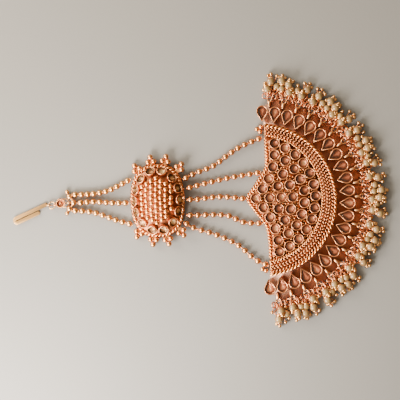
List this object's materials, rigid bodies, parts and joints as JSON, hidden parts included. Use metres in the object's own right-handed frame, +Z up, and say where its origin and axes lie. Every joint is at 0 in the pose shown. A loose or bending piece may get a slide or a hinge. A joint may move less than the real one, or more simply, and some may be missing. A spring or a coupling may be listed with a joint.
{
  "type": "jhoomar side head jewel",
  "caption": "Fan-shaped gilt head jewel with a hair hook, strings of balls, a domed plaque, set stones and a pearl fringe, lying flat.",
  "frame": {"origin": "middle of the whole outline, on the surface that the jewel lies on", "axes": "+X from the hair hook to the pearl fringe, +Y across the fan to its upper corner, +Z up from the surface"},
  "size_m": [0.1502, 0.102, 0.0082],
  "materials": {
    "rose_gold": "polished rose-gold plating with a fine cast grain",
    "pale_gold": "polished pale-gold plating",
    "stone": "faceted champagne-coloured glass in gilt bezels",
    "pearl": "cream pearl lustre"
  },
  "bodies": {
    "root": {"hair_hook": "pale_gold", "hook_ring": "pale_gold", "top_stone": "stone", "spacer_ring": "pale_gold", "top_spacer": "pale_gold", "upper_string_1": "rose_gold", "upper_string_2": "rose_gold", "upper_string_3": "rose_gold", "plaque": "rose_gold", "lower_string_1": "rose_gold", "lower_string_2": "rose_gold", "lower_string_3": "rose_gold", "lower_string_4": "rose_gold", "lower_string_5": "rose_gold", "fan_plate": "rose_gold", "woven_band": "rose_gold", "fan_stones": "stone", "teardrop_01": "stone", "teardrop_02": "stone", "teardrop_03": "stone", "teardrop_04": "stone", "teardrop_05": "stone", "teardrop_06": "stone", "teardrop_07": "stone", "teardrop_08": "stone", "teardrop_09": "stone", "teardrop_10": "stone", "teardrop_11": "stone", "teardrop_12": "stone", "teardrop_13": "stone", "teardrop_14": "stone", "teardrop_15": "stone", "teardrop_16": "stone", "teardrop_17": "stone", "teardrop_18": "stone", "teardrop_19": "stone", "teardrop_20": "stone", "teardrop_21": "stone", "teardrop_22": "stone", "pearl_bunch_01": "pearl", "pearl_bunch_02": "pearl", "pearl_bunch_03": "pearl", "pearl_bunch_04": "pearl", "pearl_bunch_05": "pearl", "pearl_bunch_06": "pearl", "pearl_bunch_07": "pearl", "pearl_bunch_08": "pearl", "pearl_bunch_09": "pearl", "pearl_bunch_10": "pearl", "pearl_bunch_11": "pearl", "pearl_bunch_12": "pearl", "pearl_bunch_13": "pearl", "pearl_bunch_14": "pearl", "pearl_bunch_15": "pearl", "pearl_bunch_16": "pearl", "pearl_bunch_17": "pearl", "pearl_bunch_18": "pearl", "pearl_bunch_19": "pearl", "pearl_bunch_20": "pearl", "pearl_bunch_21": "pearl"}
  },
  "joints": []
}
